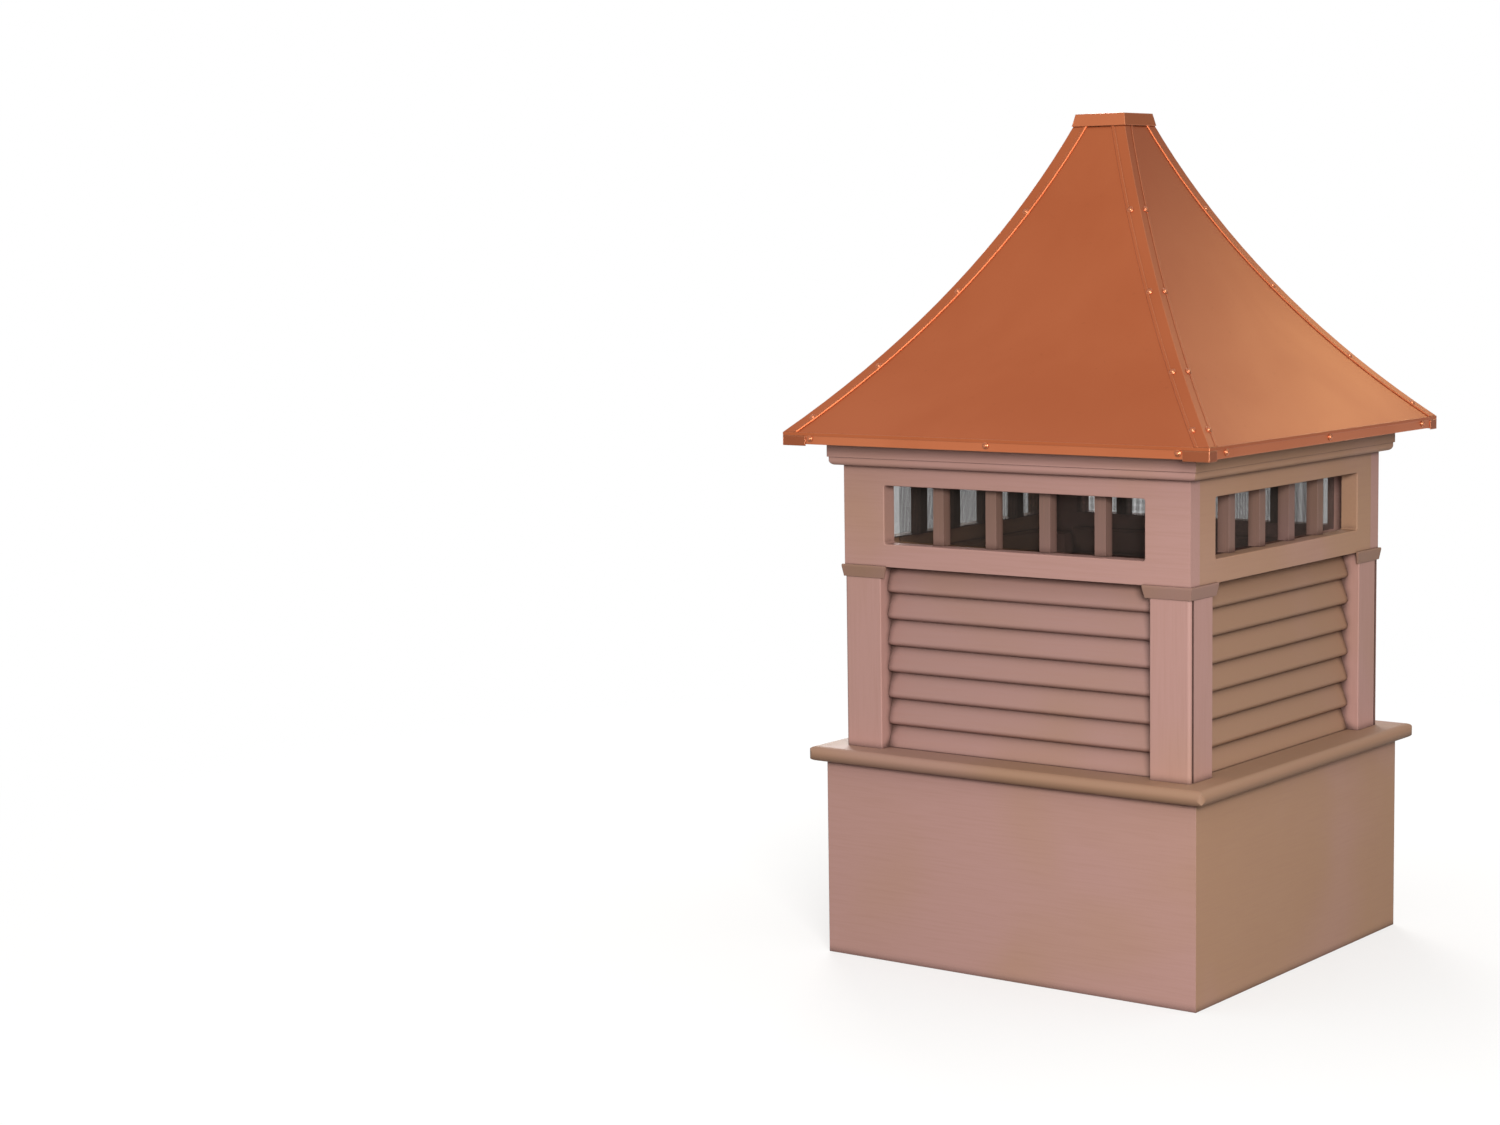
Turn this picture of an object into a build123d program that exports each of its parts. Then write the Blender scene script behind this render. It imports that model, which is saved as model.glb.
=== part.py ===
from build123d import *
import math
import os

# Roof cupola: plain boxed base, mitred sill, corner posts with fixed louvres between them,
# a transom of open lights under a frieze, and a hollow-curved sheet copper roof with hip
# caps, a drip edge and a small square peak cap.
# Millimetres. The origin is in the middle of the base's underside, +Z is up, the front
# faces -Y and the right side faces +X. Half widths are measured from the middle.

# Fits
joint_gap = 0.3
lap_gap = 0.2

# Base box
base_half = 381.0
base_height = 357.0
base_board = 19.0

# Sill
sill_overhang = 26.0
sill_thick = 27.0
sill_ledge = 10.0
sill_nose = 13.0
sill_corner_round = 12.0

# Corner posts
post_setback = 26.0
post_width = 78.0
post_height = 332.5
post_arris = 2.0
post_bead = 6.0
post_groove = 7.0
post_groove_depth = 5.0

# Louvres
louvre_setback = 20.0
louvre_run = 20.0
louvre_rise = 58.0
louvre_thick = 13.0
louvre_nose = 7.0
louvre_pitch = 48.2
louvre_sill_cut = 7.5

# Capital bands round the head of each post
capital_height = 22.0
capital_drop = 21.0
capital_thick = 4.5
capital_lip = 4.0
capital_lean = 3.0
capital_round = 1.5
capital_return = 13.0
capital_foot_return = 9.0

# Transom
transom_height = 224.5
transom_board = 32.0
light_sill_rise = 41.0
light_height = 105.5
light_margin = 87.5
light_corner_round = 4.0
light_arris = 2.0
bar_count = 4
bar_pitch = 111.0
bar_square = 22.0
bar_setback = 24.0

# Frieze
frieze_height = 43.0
frieze_thick = 22.0
frieze_round = 9.0
frieze_lower_band = 15.0
frieze_step = 2.5

# Eave
eave_board_thick = 18.0
eave_overhang = 77.0
eave_opening_half = 300.0
drip_height = 20.0
drip_hem = 9.0
eave_lip = 5.0
corner_tab_front = 50.0
corner_tab_side = 26.0
corner_tab_drop = 3.0

# Roof
sheet = 1.0
deck_thick = 9.5
roof_rise = 545.0
peak_half = 49.5
roof_hollow = 35.0
hip_lap = 28.0
hip_hem = 6.0

# Peak cap
cap_height = 22.0
cap_lean = 5.0
cap_crown = 3.0
cap_lap = 6.0

# Heights and places that follow
sill_half = base_half + sill_overhang
sill_top = base_height + sill_thick
post_half = base_half - post_setback
post_inner = post_half - post_width
post_top = sill_top + post_height
transom_top = post_top + transom_height
light_bottom = post_top + light_sill_rise
light_half = post_half - light_margin
frieze_bottom = transom_top - frieze_height
eave_bottom = transom_top
eave_top = eave_bottom + eave_board_thick
eave_half = post_half + eave_overhang
peak_height = eave_top + roof_rise

quarter_turns = {"front": 0, "right": 90, "back": 180, "left": 270}


def turned(piece, angle):
    """Carries a piece made for the front round to another side."""
    return Rot(0, 0, angle) * piece


def along_front(outline, half_length):
    """Runs an outline, drawn as (outward -Y, up Z), along the front both ways."""
    return extrude(Plane.YZ * outline, amount=half_length, both=True)


def block(x_low, x_high, y_low, y_high, z_low, z_high):
    size = (x_high - x_low, y_high - y_low, z_high - z_low)
    middle = ((x_low + x_high) / 2, (y_low + y_high) / 2, (z_low + z_high) / 2)
    return Pos(*middle) * Box(*size)


def front_wedge(half, z_low, z_high):
    """The quarter of the plan that the front owns, cut to the mitre lines."""
    plan = make_face(Polyline((0, 0), (-half, -half), (half, -half), close=True))
    return Pos(0, 0, z_low) * extrude(plan, amount=z_high - z_low)


def mitred(outline, half, z_low, z_high):
    """A moulding along the front with its ends mitred to the next sides."""
    return along_front(outline, half) & front_wedge(half + 1, z_low - 1, z_high + 1)


def rectangle(y_low, y_high, z_low, z_high):
    return Pos((y_low + y_high) / 2, (z_low + z_high) / 2) * Rectangle(
        y_high - y_low, z_high - z_low
    )


def outward_corners(outline):
    """The two corners of an outline that stand furthest out from the middle."""
    return outline.vertices().sort_by(Axis.X)[0:2]


def base_side():
    outline = rectangle(-base_half, -base_half + base_board, 0, base_height)
    return mitred(outline, base_half, 0, base_height)


def sill_side():
    """Round-nosed board mitred at the corners, which are rounded in plan."""
    outline = rectangle(-sill_half, -post_inner + sill_ledge, base_height, sill_top)
    outline = fillet(outward_corners(outline), sill_nose)
    plan = fillet(Rectangle(2 * sill_half, 2 * sill_half).vertices(), sill_corner_round)
    side = mitred(outline, sill_half, base_height, sill_top)
    return side & (Pos(0, 0, base_height) * extrude(plan, amount=sill_thick))


def corner_post():
    """Square post at the front right with a bead and a groove down its outer corner."""
    post = block(post_inner, post_half, -post_half, -post_inner, sill_top, post_top)
    front_edges = post.edges().filter_by(Axis.Z).group_by(Axis.Y)[0].sort_by(Axis.X)
    back_edges = post.edges().filter_by(Axis.Z).group_by(Axis.Y)[-1].sort_by(Axis.X)
    post = fillet([front_edges[0], back_edges[-1]], post_arris)
    corner = post.edges().filter_by(Axis.Z).group_by(Axis.Y)[0].sort_by(Axis.X)[-1]
    post = fillet(corner, post_bead)
    bead_end = -post_half + post_bead
    groove_floor = post_half - post_groove_depth
    return post - block(
        groove_floor, post_half, bead_end, bead_end + post_groove, sill_top, post_top
    )


def capital_band():
    """Band round the head of the front right post: an upright lip over a face leaning in."""
    low = post_top - capital_drop
    high = low + capital_height
    outer = post_half + capital_thick
    outline = make_face(
        Polyline(
            (-post_half, low),
            (-post_half, high),
            (-outer, high),
            (-outer, high - capital_lip),
            (-outer + capital_lean, low),
            close=True,
        )
    )
    outline = fillet(outline.vertices().group_by(Axis.X)[0].sort_by(Axis.Y)[-1], capital_round)
    end_cut = make_face(
        Polyline(
            (post_inner - capital_foot_return, low),
            (post_inner - capital_return, high - capital_lip),
            (post_inner - capital_return, high),
            (outer, high),
            (outer, low),
            close=True,
        )
    )
    arm = mitred(outline, outer, low, high) & extrude(Plane.XZ * end_cut, amount=outer)
    return arm + mirror(arm, about=Plane(origin=(0, 0, 0), z_dir=(1, 1, 0)))


def louvre_blades():
    """Sloping slats between two posts, each lapping the one below, the lowest cut to the sill."""
    slope = math.hypot(louvre_run, louvre_rise)
    back = louvre_thick * louvre_rise / slope
    drop = louvre_thick * louvre_run / slope
    nose = -post_half + louvre_setback
    slat = make_face(
        Polyline(
            (nose, drop),
            (nose + louvre_run, drop + louvre_rise),
            (nose + louvre_run + back, louvre_rise),
            (nose + back, 0),
            close=True,
        )
    )
    slat = fillet(slat.vertices().sort_by(Axis.X)[0], louvre_nose)
    blade = Pos(0, 0, sill_top - louvre_sill_cut) * along_front(slat, post_inner - joint_gap)
    count = round(post_height / louvre_pitch)
    blades = [Pos(0, 0, number * louvre_pitch) * blade for number in range(count)]
    cut = sill_top + joint_gap
    blades[0] = blades[0] & block(-post_half, post_half, -post_half, 0, cut, post_top)
    return Compound(children=blades)


def transom_panel(half_length):
    """Thick board with one long opening for the lights, its front edge eased."""
    back = -post_half + transom_board
    light_top = light_bottom + light_height
    board = block(-half_length, half_length, -post_half, back, post_top, transom_top)
    opening = block(-light_half, light_half, -post_half, back, light_bottom, light_top)
    opening = fillet(opening.edges().filter_by(Axis.Y), light_corner_round)
    panel = board - opening
    rim = panel.faces().sort_by(Axis.Y)[0].inner_wires()[0]
    return fillet(rim.edges(), light_arris)


def transom_bars():
    """Square upright bars let in between the opening's sill and head."""
    front = -post_half + bar_setback
    low = light_bottom + joint_gap
    high = light_bottom + light_height - joint_gap
    first = -(bar_count - 1) * bar_pitch / 2
    half = bar_square / 2
    bar = block(-half, half, front, front + bar_square, low, high)
    places = [first + number * bar_pitch for number in range(bar_count)]
    return Compound(children=[Pos(place, 0, 0) * bar for place in places])


def frieze_side():
    """Two-stage band: a flat fascia standing a step proud of a rounded lower edge."""
    outer = post_half + frieze_thick
    step_height = frieze_bottom + frieze_lower_band
    lower = rectangle(-outer + frieze_step, -post_half, frieze_bottom, step_height)
    lower = fillet(outward_corners(lower).sort_by(Axis.Y)[0], frieze_round)
    upper = rectangle(-outer, -post_half, step_height, transom_top)
    return mitred(lower + upper, outer, frieze_bottom, transom_top)


def eave_board_side():
    edge = eave_half - sheet - joint_gap
    outline = rectangle(-edge, -eave_opening_half, eave_bottom, eave_top)
    return mitred(outline, edge, eave_bottom, eave_top)


def drip_edge_side():
    """Sheet channel over the eave board's edge, hemmed back under it."""
    low = eave_top - drip_height
    face = rectangle(-eave_half, -eave_half + sheet, low, eave_top)
    hem = rectangle(-eave_half, -eave_half + drip_hem, low, low + sheet)
    ends = eave_half - joint_gap
    channel = along_front(face + hem, eave_half)
    return channel & front_wedge(eave_half + 1, low - 1, eave_top + 1) & block(
        -ends, ends, -eave_half, 0, low, eave_top
    )


def corner_tab():
    """Sheet tab folded round the drip edge at the front right corner."""
    outer = eave_half + lap_gap + sheet
    inner = eave_half + lap_gap
    low = eave_top - drip_height - corner_tab_drop
    high = eave_top - eave_lip - lap_gap
    tab = block(outer - corner_tab_front, outer, -outer, -outer + corner_tab_side, low, high)
    return tab - block(0, inner, -inner, 0, low, high)


def roof_arc():
    """Radius and centre of the roof's hollow curve, drawn as (outward -Y, up Z)."""
    run = eave_half - peak_half
    chord = math.hypot(run, roof_rise)
    radius = (chord**2 / 4 + roof_hollow**2) / (2 * roof_hollow)
    to_centre = radius - roof_hollow
    middle = (-(eave_half + peak_half) / 2, eave_top + roof_rise / 2)
    centre = (
        middle[0] - to_centre * roof_rise / chord,
        middle[1] + to_centre * run / chord,
    )
    return radius, centre


def roof_outline(depth, thick):
    """A layer of the roof in section, a depth below the copper's outer face."""
    radius, centre = roof_arc()
    ring = Circle(radius + depth + thick) - Circle(radius + depth)
    return (Pos(*centre) * ring) & rectangle(-eave_half, 0, eave_top, peak_height)


def roof_layer(depth, thick):
    return mitred(roof_outline(depth, thick), eave_half, eave_top, peak_height)


def roof_copper_side():
    """Curved sheet with its lower edge folded down over the drip edge."""
    lip_out = -eave_half - lap_gap - sheet
    fold = rectangle(lip_out, -eave_half + sheet, eave_top, eave_top + sheet)
    lip = rectangle(lip_out, lip_out + sheet, eave_top - eave_lip, eave_top)
    outline = roof_outline(0, sheet) + fold + lip
    return mitred(outline, -lip_out, eave_top - eave_lip, peak_height)


def roof_deck_side():
    return roof_layer(sheet + lap_gap, deck_thick)


def beside_hip(near, far):
    """Upright strip over the front slope, between two distances back from the hip."""
    plan = Polyline(
        (0, -near),
        (eave_half, -eave_half - near),
        (eave_half, -eave_half - far),
        (0, -far),
        close=True,
    )
    start = eave_top + sheet + lap_gap
    return Pos(0, 0, start) * extrude(make_face(plan), amount=roof_rise)


def hip_cap():
    """Folded sheet over the front right hip, lapping both slopes, with hemmed edges."""
    flap = roof_layer(-lap_gap - sheet, sheet) & beside_hip(0, hip_lap)
    hem = roof_layer(-lap_gap - 2 * sheet, sheet) & beside_hip(hip_lap - hip_hem, hip_lap)
    arm = flap + hem
    return arm + mirror(arm, about=Plane(origin=(0, 0, 0), z_dir=(1, 1, 0)))


def peak_cap():
    """Square cap with leaning sides and a low pyramid top, open underneath."""
    radius, centre = roof_arc()
    lip_height = peak_height - cap_lap
    roof_there = -centre[0] - math.sqrt(radius**2 - (centre[1] - lip_height) ** 2)
    lip_half = roof_there + 2 * lap_gap + 3 * sheet
    top_half = lip_half - cap_lean
    top_height = lip_height + cap_height
    outline = make_face(
        Polyline(
            (-lip_half, lip_height),
            (-top_half, top_height),
            (0, top_height + cap_crown),
            (0, top_height + cap_crown - sheet),
            (-top_half + sheet, top_height - sheet),
            (-lip_half + sheet, lip_height),
            close=True,
        )
    )
    side = mitred(outline, lip_half, lip_height, top_height + cap_crown)
    cap = side
    for angle in (90, 180, 270):
        cap = cap + turned(side, angle)
    return cap


def save(name, piece):
    export_step(piece, os.path.join("parts", name + ".step"))


os.makedirs("parts", exist_ok=True)

side_pieces = {
    "base": base_side(),
    "sill": sill_side(),
    "louvres": louvre_blades(),
    "transom_bars": transom_bars(),
    "frieze": frieze_side(),
    "eave_board": eave_board_side(),
    "roof_deck": roof_deck_side(),
    "roof_copper": roof_copper_side(),
}
for side, angle in quarter_turns.items():
    for name, piece in side_pieces.items():
        save(name + "_" + side, turned(piece, angle))
    panel_half = post_half if side in ("front", "back") else post_half - transom_board
    save("transom_" + side, turned(transom_panel(panel_half), angle))

front_right_post = corner_post()
front_left_post = mirror(front_right_post, about=Plane.YZ)
save("post_front_right", front_right_post)
save("post_front_left", front_left_post)
save("post_back_left", turned(front_right_post, 180))
save("post_back_right", turned(front_left_post, 180))


def all_round(piece):
    return Compound(children=[turned(piece, angle) for angle in quarter_turns.values()])


save("post_capitals", all_round(capital_band()))
save("hip_caps", all_round(hip_cap()))
save("drip_edges", all_round(drip_edge_side()))
front_right_tab = corner_tab()
front_left_tab = mirror(front_right_tab, about=Plane.YZ)
tabs = [front_right_tab, front_left_tab, turned(front_right_tab, 180), turned(front_left_tab, 180)]
save("drip_corner_tabs", Compound(children=tabs))
save("peak_cap", peak_cap())
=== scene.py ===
import math

import bmesh
import bpy
from mathutils import Matrix, Vector


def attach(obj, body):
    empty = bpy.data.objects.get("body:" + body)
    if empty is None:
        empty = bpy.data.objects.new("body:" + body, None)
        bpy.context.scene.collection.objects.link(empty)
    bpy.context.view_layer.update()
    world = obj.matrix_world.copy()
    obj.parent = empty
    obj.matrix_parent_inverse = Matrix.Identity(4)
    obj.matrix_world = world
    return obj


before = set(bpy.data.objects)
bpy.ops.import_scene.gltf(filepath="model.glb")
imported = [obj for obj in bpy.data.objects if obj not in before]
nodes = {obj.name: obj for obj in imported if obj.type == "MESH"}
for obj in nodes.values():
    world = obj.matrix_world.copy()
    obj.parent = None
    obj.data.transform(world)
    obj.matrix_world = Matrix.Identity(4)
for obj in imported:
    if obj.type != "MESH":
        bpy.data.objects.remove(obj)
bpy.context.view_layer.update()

# Roof cupola in clay-coloured boards with a hollow-curved roof of sheet copper.
# Metres. The front faces -Y, the right side faces +X and the floor is at zero.

quarter_turns = {"front": 0, "right": 90, "back": 180, "left": 270}

# Sizes taken over from the construction
eave_half = 0.432
eave_top = 0.959
peak_half = 0.0495
roof_rise = 0.545
roof_hollow = 0.035
copper_sheet = 0.001
lap_gap = 0.0002
drip_height = 0.020
bar_back = 0.309
light_half = 0.2675
light_bottom = 0.7575
light_height = 0.1055
joint_gap = 0.0003


class Value:
    """A socket of a finish, so that shader maths reads as plain sums."""

    def __init__(self, finish, socket):
        self.finish = finish
        self.socket = socket

    def maths(self, operation, first, second):
        settings = {"operation": operation}
        return self.finish.add("ShaderNodeMath", settings, {0: first, 1: second})

    def __add__(self, other):
        return self.maths("ADD", self, other)

    def __radd__(self, other):
        return self.maths("ADD", other, self)

    def __sub__(self, other):
        return self.maths("SUBTRACT", self, other)

    def __rsub__(self, other):
        return self.maths("SUBTRACT", other, self)

    def __mul__(self, other):
        return self.maths("MULTIPLY", self, other)

    def __rmul__(self, other):
        return self.maths("MULTIPLY", other, self)


class Finish:
    """One material and the few steps that its patterns are made of."""

    def __init__(self, name, tree=None):
        if tree is None:
            self.material = bpy.data.materials.new(name)
            self.material.use_nodes = True
            tree = self.material.node_tree
        self.tree = tree
        self.tree.nodes.clear()

    def add(self, kind, settings, inputs, output=0):
        made = self.tree.nodes.new(kind)
        for name, setting in settings.items():
            setattr(made, name, setting)
        for name, value in inputs.items():
            if isinstance(value, Value):
                self.tree.links.new(value.socket, made.inputs[name])
            else:
                made.inputs[name].default_value = value
        if not made.outputs:
            return None
        return Value(self, made.outputs[output])

    def place(self):
        return self.add("ShaderNodeTexCoord", {}, {}, "Object")

    def stretched(self, scale):
        """Object coordinates scaled per axis, so that a pattern runs along a piece."""
        return self.add("ShaderNodeMapping", {}, {"Vector": self.place(), "Scale": scale})

    def noise(self, place, scale, detail, roughness, distortion=0.0):
        inputs = {
            "Vector": place,
            "Scale": scale,
            "Detail": detail,
            "Roughness": roughness,
            "Distortion": distortion,
        }
        return self.add("ShaderNodeTexNoise", {}, inputs)

    def step(self, value, low, high):
        """0 below low, 1 above high and a smooth rise between them."""
        settings = {"interpolation_type": "SMOOTHSTEP"}
        inputs = {"Value": value, "From Min": low, "From Max": high}
        return self.add("ShaderNodeMapRange", settings, inputs)

    def blend(self, share, first, second):
        inputs = {0: share, 6: first, 7: second}
        return self.add("ShaderNodeMix", {"data_type": "RGBA"}, inputs, 2)

    def alike(self, first, second):
        """1 where two directions are the same, and less as they part."""
        settings = {"operation": "DOT_PRODUCT"}
        return self.add("ShaderNodeVectorMath", settings, {0: first, 1: second}, "Value")

    def ray(self, kind):
        """1 for rays of one kind, such as what the eye sees or what copper mirrors."""
        return self.add("ShaderNodeLightPath", {}, {}, kind)

    def bump(self, height, strength, depth, under):
        inputs = {"Height": height, "Strength": strength, "Distance": depth, "Normal": under}
        return self.add("ShaderNodeBump", {}, inputs)

    def eased(self, radius):
        """A normal that rounds the piece's sharp edges over."""
        return self.add("ShaderNodeBevel", {"samples": 4}, {"Radius": radius})

    def edge_share(self, eased, low, high):
        """1 on the eased edges and 0 on the flats."""
        flat = self.add("ShaderNodeNewGeometry", {}, {}, "Normal")
        return self.step(1 - self.alike(eased, flat), low, high)

    def painted_shade_share(self, reach):
        """Painted shade: 1 in the joints and under the overhangs, where shade falls, and 0 on
        open faces.
        """
        settings = {"samples": 6, "only_local": False}
        open_share = self.add("ShaderNodeAmbientOcclusion", settings, {"Distance": reach}, "AO")
        return 1 - self.step(open_share, low=0.35, high=0.85)

    def principled(self, inputs):
        shader = self.add("ShaderNodeBsdfPrincipled", {}, inputs)
        self.add("ShaderNodeOutputMaterial", {}, {"Surface": shader})
        return self.material


def colour(red, green, blue):
    """A colour written as on screen, 0 to 255, turned into the linear one."""
    linear = []
    for value in (red, green, blue):
        share = value / 255
        linear.append(share / 12.92 if share <= 0.04045 else ((share + 0.055) / 1.055) ** 2.4)
    return (*linear, 1.0)


def grain_scale(run, share):
    """Pattern scales that draw a grain out along the axis that a board runs on."""
    return [share if axis == run else 1 for axis in "xyz"]


def clay_board(name, run, tone=0.0, painted_shading=1.0, reach=0.02):
    """Clay-coloured board: soft mottling, a faint grain along its run, painted highlight on its
    edges and painted shade in its joints and under its overhangs.

    A higher tone gives more tan and less pink, and the shading factor darkens the whole board as
    painted shade below 1 and lightens it as painted light above 1.
    """
    finish = Finish(name)
    place = finish.place()
    pink = colour(176 * painted_shading, 136 * painted_shading, 127 * painted_shading)
    tan = colour(168 * painted_shading, 130 * painted_shading, 103 * painted_shading)
    grain_brown = colour(154, 113, 97)
    painted_edge_highlight = colour(196, 158, 144)
    painted_crevice_shade = colour(60, 38, 31)

    patches = finish.noise(place, scale=2.3, detail=2.0, roughness=0.5, distortion=0.4)
    base = finish.blend(finish.step(patches + tone, low=0.34, high=0.72), pink, tan)
    along = finish.stretched(grain_scale(run, 0.035))
    grain = finish.noise(along, scale=260, detail=4.0, roughness=0.6)
    base = finish.blend(finish.step(grain, low=0.35, high=0.8) * 0.22, base, grain_brown)
    eased = finish.eased(radius=0.0012)
    # painted highlight: the eased edges are lightened
    base = finish.blend(finish.edge_share(eased, low=0.02, high=0.3) * 0.25, base, painted_edge_highlight)
    # painted shade: joints and faces under overhangs darken towards dark brown
    base = finish.blend(finish.painted_shade_share(reach) * 0.9, base, painted_crevice_shade)
    smudges = finish.noise(place, scale=9, detail=3.0, roughness=0.6)
    return finish.principled(
        {
            "Base Color": base,
            "Roughness": 0.5 + smudges * 0.16,
            "Normal": finish.bump(grain, strength=0.25, depth=0.0004, under=eased),
            "Specular IOR Level": 0.35,
        }
    )


def bare_board(name, run):
    """Unpainted softwood, seen only inside and under the eave."""
    finish = Finish(name)
    light_wood = colour(150, 112, 76)
    dark_wood = colour(112, 78, 50)
    fibre_brown = colour(92, 64, 44)

    along = finish.stretched(grain_scale(run, 0.05))
    rings = finish.noise(along, scale=60, detail=5.0, roughness=0.62, distortion=0.6)
    fibre = finish.noise(along, scale=420, detail=2.0, roughness=0.5)
    base = finish.blend(finish.step(rings, low=0.35, high=0.68), light_wood, dark_wood)
    base = finish.blend(fibre * 0.35, base, fibre_brown)
    eased = finish.eased(radius=0.001)
    height = rings * 0.6 + fibre * 0.4
    return finish.principled(
        {
            "Base Color": base,
            "Roughness": 0.62 + fibre * 0.2,
            "Normal": finish.bump(height, strength=0.4, depth=0.0005, under=eased),
        }
    )


def sheet_copper(name, edge_radius, light, dull):
    """Rolled copper beginning to dull: warm matte sheen, with painted highlight and lower
    roughness on its folds.
    """
    finish = Finish(name)
    place = finish.place()
    speck_brown = colour(138, 76, 48)
    painted_fold_highlight = colour(232, 158, 120)

    clouds = finish.noise(place, scale=3.4, detail=3.0, roughness=0.5, distortion=0.5)
    base = finish.blend(finish.step(clouds, low=0.3, high=0.72), light, dull)
    specks = finish.noise(place, scale=95, detail=3.0, roughness=0.6)
    base = finish.blend(finish.step(specks, low=0.62, high=0.8) * 0.2, base, speck_brown)
    eased = finish.eased(edge_radius)
    edge = finish.edge_share(eased, low=0.02, high=0.25)
    # painted highlight: the folds are lightened towards bright copper
    base = finish.blend(edge * 0.6, base, painted_fold_highlight)
    waves = finish.noise(finish.stretched((1, 1, 0.6)), scale=4.2, detail=2.0, roughness=0.45)
    rolling = finish.noise(finish.stretched((1, 1, 0.08)), scale=340, detail=2.0, roughness=0.5)
    normal = finish.bump(waves, strength=0.12, depth=0.012, under=eased)
    normal = finish.bump(rolling, strength=0.12, depth=0.0002, under=normal)
    return finish.principled(
        {
            "Base Color": base,
            "Metallic": 1.0,
            "Roughness": 0.43 + clouds * 0.06 - edge * 0.14,
            "Normal": normal,
        }
    )


def screw_metal(name):
    """Copper-plated screw heads, a little brighter than the sheet."""
    finish = Finish(name)
    specks = finish.noise(finish.place(), scale=600, detail=2.0, roughness=0.5)
    eased = finish.eased(radius=0.0004)
    return finish.principled(
        {
            "Base Color": finish.blend(specks, colour(206, 132, 96), colour(176, 100, 66)),
            "Metallic": 1.0,
            "Roughness": 0.24 + specks * 0.12,
            "Normal": finish.bump(specks, strength=0.1, depth=0.0001, under=eased),
        }
    )


def screen_wire(name):
    """Fine dark bronze wire, dull all over."""
    finish = Finish(name)
    tone = finish.noise(finish.place(), scale=40, detail=2.0, roughness=0.5)
    return finish.principled(
        {
            "Base Color": finish.blend(tone, colour(58, 50, 44), colour(44, 38, 35)),
            "Metallic": 0.4,
            "Roughness": 0.6 + tone * 0.15,
        }
    )


# How tan the boards are that run across the front, along the sides and upright: painted light,
# the sides tan and the front pink from how the light falls on each
painted_side_tones = {"x": -0.13, "y": 0.18, "z": -0.10}


def clay_boards(piece, runs, tone=0.0, painted_shading=1.0, reach=0.02):
    """The clay finish of one piece's boards, for each axis that they run on."""
    return {
        run: clay_board(f"clay_{piece}_{run}", run, painted_side_tones[run] + tone, painted_shading, reach)
        for run in runs
    }


# Painted shading: the frieze is a little lighter as painted light, and the louvres, sills,
# capitals and bars are darker as painted shade
clay = clay_boards("boards", "xyz")
clay_bars = clay_board("clay_bars", "z", painted_shading=0.7)
clay_frieze = clay_boards("frieze", "xy", painted_shading=1.04, reach=0.014)
clay_louvres = clay_boards("louvres", "xy", tone=0.10, painted_shading=0.90)
clay_sills = clay_boards("sills", "xy", tone=0.24, painted_shading=0.90, reach=0.005)
clay_capitals = clay_board("clay_capitals", "z", tone=0.06, painted_shading=0.84, reach=0.007)
bare = {run: bare_board("bare_boards_" + run, run) for run in "xy"}
copper = sheet_copper("sheet_copper", 0.0016, colour(181, 101, 64), colour(175, 95, 59))
# painted light: the drip edges and the peak cap get a lighter copy of the copper
folded_copper_painted_light = sheet_copper("folded_copper_painted_light", 0.0022, colour(196, 116, 78), colour(186, 105, 68))
# painted reflection: the corner tabs get a darker copy of the copper, as if mirroring a dark
# surrounding
tab_copper_painted_dark = sheet_copper("tab_copper_painted_dark", 0.003, colour(160, 92, 62), colour(148, 82, 54))
screws = screw_metal("screw_heads")
bronze_wire = screen_wire("bronze_wire")


def give(node_name, material):
    for slot in nodes[node_name].material_slots:
        slot.material = material


for side, angle in quarter_turns.items():
    run = "x" if angle % 180 == 0 else "y"
    for name in ("base", "transom"):
        give(name + "_" + side, clay[run])
    give("sill_" + side, clay_sills[run])
    give("louvres_" + side, clay_louvres[run])
    give("frieze_" + side, clay_frieze[run])
    give("transom_bars_" + side, clay_bars)
    give("eave_board_" + side, bare[run])
    give("roof_deck_" + side, bare[run])
    give("roof_copper_" + side, copper)
for corner in ("front_right", "front_left", "back_left", "back_right"):
    give("post_" + corner, clay["z"])
give("post_capitals", clay_capitals)
give("hip_caps", copper)
give("drip_corner_tabs", tab_copper_painted_dark)
for name in ("drip_edges", "peak_cap"):
    give(name, folded_copper_painted_light)


def new_piece(name, mesh, material, smooth):
    merge_reach = 0.00001
    bmesh.ops.remove_doubles(mesh, verts=mesh.verts, dist=merge_reach)
    bmesh.ops.recalc_face_normals(mesh, faces=mesh.faces)
    data = bpy.data.meshes.new(name)
    mesh.to_mesh(data)
    mesh.free()
    data.materials.append(material)
    for face in data.polygons:
        face.use_smooth = smooth
    piece = bpy.data.objects.new(name, data)
    bpy.context.scene.collection.objects.link(piece)
    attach(piece, "root")


def roof_arc():
    """Radius and centre of the roof's hollow curve, as (outward, up)."""
    run = eave_half - peak_half
    chord = math.hypot(run, roof_rise)
    radius = (chord**2 / 4 + roof_hollow**2) / (2 * roof_hollow)
    to_centre = radius - roof_hollow
    outward = (eave_half + peak_half) / 2 + to_centre * roof_rise / chord
    up = eave_top + roof_rise / 2 + to_centre * run / chord
    return radius, outward, up


def roof_at(height):
    """Distance from the middle to the copper, and the way it faces, at a height."""
    radius, outward, up = roof_arc()
    across = math.sqrt(radius**2 - (up - height) ** 2)
    facing = Vector((across / radius, (up - height) / radius))
    return outward - across, facing


# Screws: radii, and heights above the sheet
screw_washer = 0.0062
screw_head = 0.0042
washer_edge = 0.0009
washer_top = 0.0012
head_edge = 0.0018
head_shoulder = 0.0030
head_crown = 0.0038
head_top = 0.0040
screw_facets = 20


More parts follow.
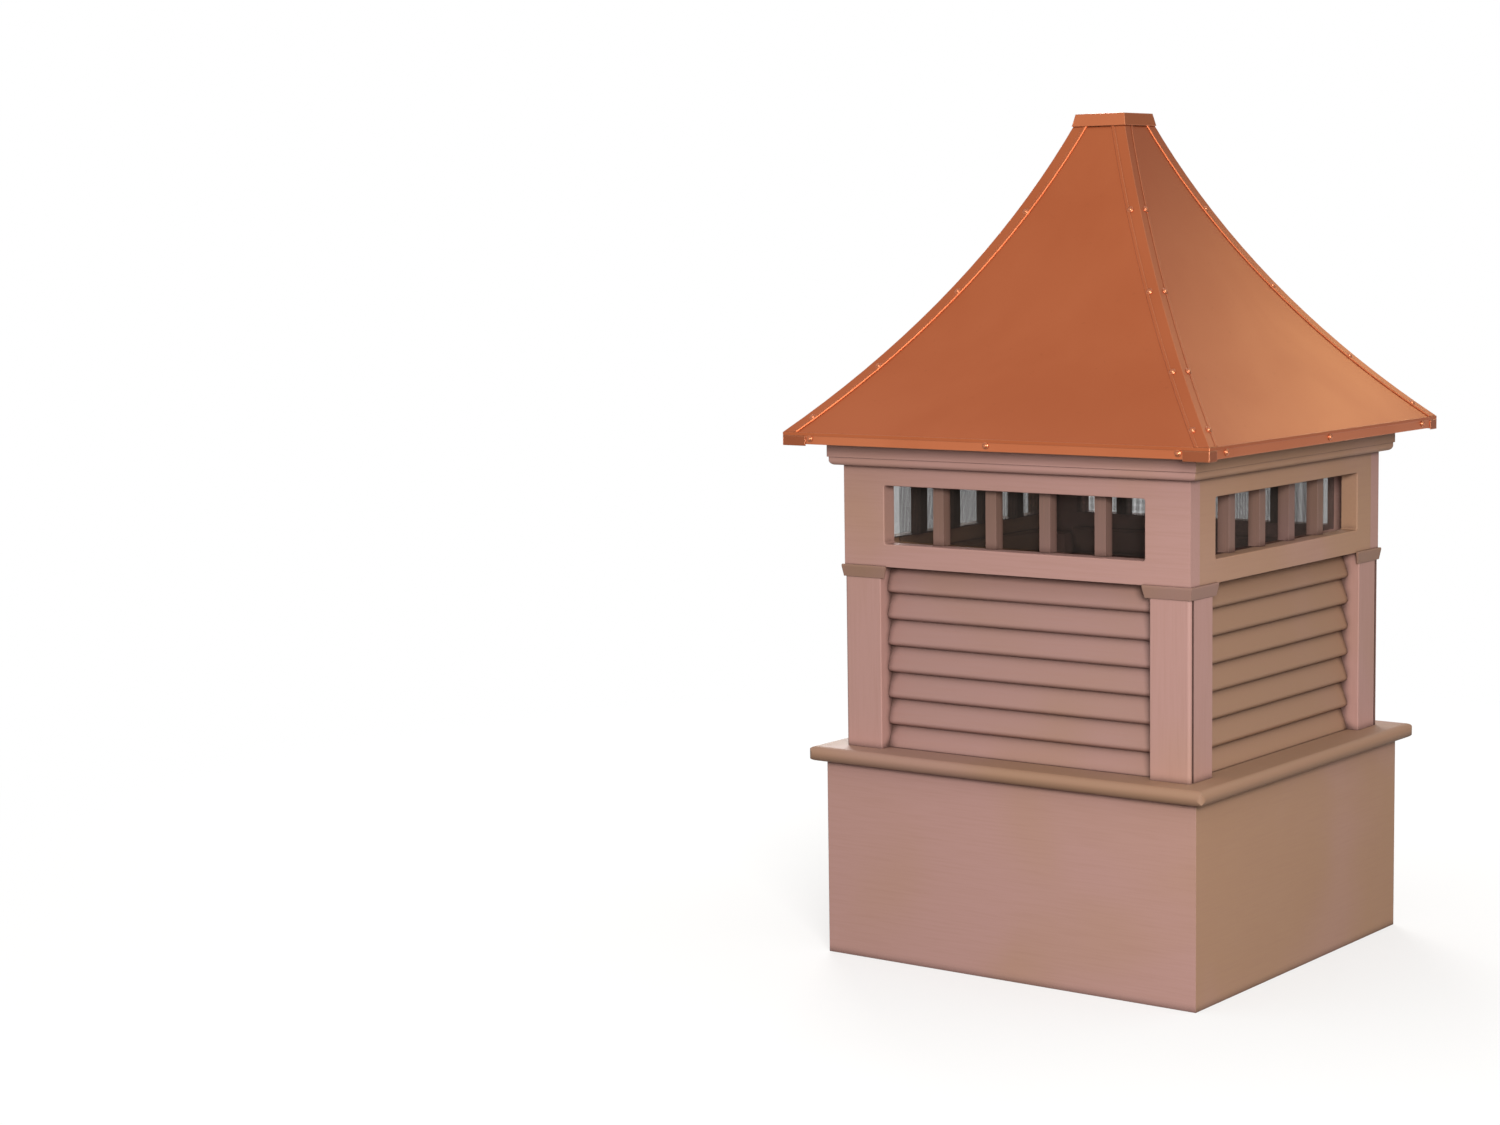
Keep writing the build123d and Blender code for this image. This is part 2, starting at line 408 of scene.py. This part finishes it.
def screw(mesh, place, facing):
    """A round-headed screw on a washer, standing on a sheet that faces that way."""
    profile = [
        (screw_washer, 0),
        (screw_washer, washer_edge),
        (screw_washer * 0.94, washer_top),
        (screw_head, washer_top),
        (screw_head, head_edge),
        (screw_head * 0.86, head_shoulder),
        (screw_head * 0.5, head_crown),
        (0, head_top),
    ]
    points = [mesh.verts.new((radius, 0, height)) for radius, height in profile]
    edges = [mesh.edges.new(pair) for pair in zip(points, points[1:])]
    bmesh.ops.spin(
        mesh,
        geom=points + edges,
        cent=(0, 0, 0),
        axis=(0, 0, 1),
        angle=2 * math.pi,
        steps=screw_facets,
        use_merge=True,
    )
    made = [vertex for vertex in mesh.verts if not vertex.tag]
    lean = Vector((0, 0, 1)).rotation_difference(facing).to_matrix().to_4x4()
    bmesh.ops.transform(mesh, matrix=Matrix.Translation(place) @ lean, verts=made)
    for vertex in made:
        vertex.tag = True


# Where the screws stand: up both sides of each hip, in from it, and along each drip edge
hip_screw_heights = (0.985, 1.075, 1.206, 1.347)
hip_screw_inset = 0.0185
drip_screw_places = (-0.374, 0.0, 0.374)

fixings = bmesh.new()
for angle in quarter_turns.values():
    turn = Matrix.Rotation(math.radians(angle), 4, "Z")
    for height in hip_screw_heights:
        half, facing = roof_at(height)
        outward = Vector((0, -facing.x, facing.y))
        for way in (-1, 1):
            foot = Vector((way * (half - hip_screw_inset), -half, height))
            foot += outward * (lap_gap + copper_sheet)
            screw(fixings, turn @ foot, turn @ outward)
    for across in drip_screw_places:
        foot = Vector((across, -eave_half - lap_gap, eave_top - drip_height / 2))
        screw(fixings, turn @ foot, turn @ Vector((0, -1, 0)))
new_piece("roof_screws", fixings, screws, smooth=True)

# Insect screens behind the lights
wire_pitch = 0.0016
wire_thick = 0.00034
bar_to_wire = 0.0001


def wire_row(mesh, first, length, step, count):
    """Straight square wires side by side, each closed at both ends."""
    made = bmesh.ops.create_cube(mesh, size=1)["verts"]
    size = Vector((wire_thick, wire_thick, wire_thick))
    along = 0 if step.x == 0 else 2
    size[along] = length
    bmesh.ops.scale(mesh, vec=size, verts=made)
    bmesh.ops.translate(mesh, vec=first, verts=made)
    wire = list({face for vertex in made for face in vertex.link_faces})
    for number in range(1, count):
        copy = bmesh.ops.duplicate(mesh, geom=wire)["geom"]
        verts = [item for item in copy if isinstance(item, bmesh.types.BMVert)]
        bmesh.ops.translate(mesh, vec=step * number, verts=verts)


def insect_screen(mesh):
    """Crossed wires lying on the back of the bars, as wide and high as the opening."""
    reach = light_half - 2 * joint_gap
    rise = light_height - 4 * joint_gap
    middle = light_bottom + light_height / 2
    upright_count = int(2 * reach / wire_pitch)
    level_count = int(rise / wire_pitch)
    ahead = -bar_back + wire_thick / 2 + bar_to_wire
    behind = ahead + wire_thick
    first = Vector((-(upright_count - 1) * wire_pitch / 2, ahead, middle))
    wire_row(mesh, first, rise, Vector((wire_pitch, 0, 0)), upright_count)
    first = Vector((0, behind, middle - (level_count - 1) * wire_pitch / 2))
    wire_row(mesh, first, 2 * reach, Vector((0, 0, wire_pitch)), level_count)


screens = bmesh.new()
for angle in quarter_turns.values():
    side_screen = bmesh.new()
    insect_screen(side_screen)
    bmesh.ops.rotate(
        side_screen,
        cent=(0, 0, 0),
        matrix=Matrix.Rotation(math.radians(angle), 3, "Z"),
        verts=side_screen.verts,
    )
    sheet = bpy.data.meshes.new("screen_side")
    side_screen.to_mesh(sheet)
    side_screen.free()
    screens.from_mesh(sheet)
    bpy.data.meshes.remove(sheet)
new_piece("insect_screens", screens, bronze_wire, smooth=False)


def stand(azimuth, distance, height):
    """A place around the object, with the azimuth in degrees from the front."""
    around = math.radians(azimuth)
    return Vector((distance * math.sin(around), -distance * math.cos(around), height))


# Camera: where the photograph was taken from, turned a little past the object
camera_azimuth = 30.524
camera_distance = 5.4136
camera_height = 1.3325
camera_turn = 7.113
camera_dip = 6.561
camera_roll = 0.885
camera_lens = 70.596
camera_sensor = 36

camera_data = bpy.data.cameras.new("camera")
camera_data.lens = camera_lens
camera_data.sensor_width = camera_sensor
camera = bpy.data.objects.new("camera", camera_data)
bpy.context.scene.collection.objects.link(camera)
aim = Matrix.Rotation(math.radians(camera_azimuth + camera_turn), 4, "Z")
aim = aim @ Matrix.Rotation(math.radians(90 - camera_dip), 4, "X")
aim = aim @ Matrix.Rotation(math.radians(-camera_roll), 4, "Z")
place = stand(camera_azimuth, camera_distance, camera_height)
camera.matrix_world = Matrix.Translation(place) @ aim
bpy.context.scene.camera = camera

# Lights: a soft one in front, a weak one near the right slope and one for the back
soft_white = (1.0, 0.99, 0.98)
yellow_glow = (1.0, 1.25, 0.72)
object_middle = (0, 0, 0.8)
right_slope_foot = (0.39, 0.10, 1.01)


def area_light(name, place, size, power, tint, aim=object_middle, spread=180):
    """A square soft light on its stand, turned to a place on the object."""
    data = bpy.data.lights.new(name, "AREA")
    data.shape = "SQUARE"
    data.size = size
    data.energy = power
    data.color = tint
    data.spread = math.radians(spread)
    lamp = bpy.data.objects.new(name, data)
    bpy.context.scene.collection.objects.link(lamp)
    turn = (Vector(aim) - place).to_track_quat("-Z", "Y").to_matrix().to_4x4()
    lamp.matrix_world = Matrix.Translation(place) @ turn


area_light("key_light", stand(37.5, 5.6, 2.0), size=1.6, power=304, tint=soft_white)
area_light(
    "roof_light",
    stand(162, 1.6, 1.74),
    size=0.4,
    power=0.068,
    tint=yellow_glow,
    aim=right_slope_foot,
    spread=40,
)
area_light("fill_light", stand(222, 4.5, 2.4), size=2.0, power=120, tint=soft_white)


def floor_and_backdrop():
    """A pale floor that keeps the object's shadow and fades to white around it."""
    floor_radius = 30
    shadow_reach = 0.8
    white_reach = 3.0
    least_white = 0.55
    pale_to_the_eye = colour(236, 235, 233)
    dark_to_the_light = colour(70, 68, 66)
    finish = Finish("pale_floor")
    settings = {"operation": "LENGTH"}
    far = finish.add("ShaderNodeVectorMath", settings, {0: finish.place()}, "Value")
    seen = finish.ray("Is Camera Ray")
    mirrored = finish.ray("Is Glossy Ray")
    through = finish.ray("Is Transmission Ray")
    white_share = least_white + (1 - least_white) * finish.step(far, shadow_reach, white_reach)
    share = (seen + mirrored + through) * white_share
    paint = finish.blend(seen, dark_to_the_light, pale_to_the_eye)
    cloth = finish.add("ShaderNodeBsdfDiffuse", {}, {"Color": paint})
    white = finish.add("ShaderNodeEmission", {}, {"Color": (1, 1, 1, 1), "Strength": 1.0})
    mixed = finish.add("ShaderNodeMixShader", {}, {0: share, 1: cloth, 2: white})
    finish.add("ShaderNodeOutputMaterial", {}, {"Surface": mixed})
    mesh = bmesh.new()
    bmesh.ops.create_circle(mesh, cap_ends=True, segments=64, radius=floor_radius)
    data = bpy.data.meshes.new("floor")
    mesh.to_mesh(data)
    mesh.free()
    data.materials.append(finish.material)
    floor = bpy.data.objects.new("floor", data)
    bpy.context.scene.collection.objects.link(floor)


def studio():
    """White walls to the eye and in the copper, and light that falls mostly from above.

    One soft corner, which the right slope mirrors, keeps that fall in the copper too.
    """
    corner_way = (0.395, 0.886, 0.242)
    corner_edge = 0.76
    corner_heart = 0.93
    low_grey = (0.1, 0.1, 0.1, 1)
    high_white = (1.0, 1.0, 1.0, 1)
    world = bpy.data.worlds.new("studio")
    bpy.context.scene.world = world
    world.use_nodes = True
    room = Finish("studio", world.node_tree)
    seen = room.ray("Is Camera Ray")
    mirrored = room.ray("Is Glossy Ray")
    through = room.ray("Is Transmission Ray")
    way = room.place()
    up = room.add("ShaderNodeSeparateXYZ", {}, {0: way}, "Z")
    fall = room.blend(room.step(up, low=0.05, high=0.75), low_grey, high_white)
    dim = room.add("ShaderNodeBackground", {}, {"Color": fall, "Strength": 1.0})
    white = room.add("ShaderNodeBackground", {}, {"Color": high_white, "Strength": 1.0})
    corner_share = room.step(room.alike(way, corner_way), corner_edge, corner_heart)
    share = seen + mirrored * (1 - corner_share) + through
    lit = room.add("ShaderNodeMixShader", {}, {0: share, 1: dim, 2: white})
    room.add("ShaderNodeOutputWorld", {}, {"Surface": lit})


floor_and_backdrop()
studio()
bpy.context.scene.view_settings.view_transform = "Standard"
